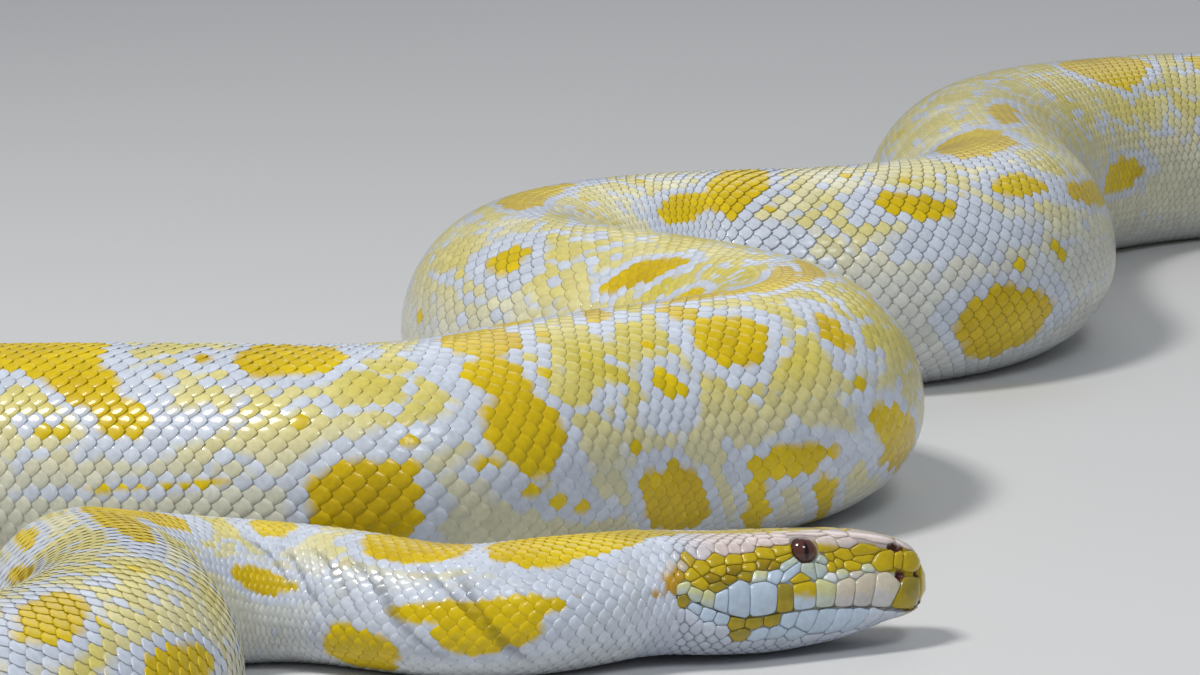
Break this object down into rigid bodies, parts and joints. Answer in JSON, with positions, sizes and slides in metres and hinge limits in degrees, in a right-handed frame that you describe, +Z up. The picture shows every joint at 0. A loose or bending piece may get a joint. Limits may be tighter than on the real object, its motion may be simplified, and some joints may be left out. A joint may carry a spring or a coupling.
{
  "type": "albino Burmese python",
  "caption": "Life-size still model of an albino Burmese python resting in open loops, with its head laid along its coiled body.",
  "frame": {"origin": "on the floor, under the middle of the whole animal", "axes": "+Z up, the snout points along +X, and the picture looks along +Y"},
  "size_m": [1.1986, 1.5824, 0.1191],
  "materials": {
    "scales": "smooth glossy scales: saturated yellow blotches with white and lavender borders on pale cream, white belly",
    "eye": "wet glossy dark red under a clear scale"
  },
  "bodies": {
    "root": {"head": "scales", "lower_jaw": "scales", "eye_left": "eye", "eye_right": "eye", "neck": "scales", "trunk_01": "scales", "trunk_02": "scales", "trunk_03": "scales", "trunk_04": "scales", "trunk_05": "scales", "trunk_06": "scales", "trunk_07": "scales", "trunk_08": "scales", "trunk_09": "scales", "trunk_10": "scales", "trunk_11": "scales", "trunk_12": "scales", "trunk_13": "scales", "trunk_14": "scales", "tail": "scales", "tail_tip": "scales"}
  },
  "joints": []
}
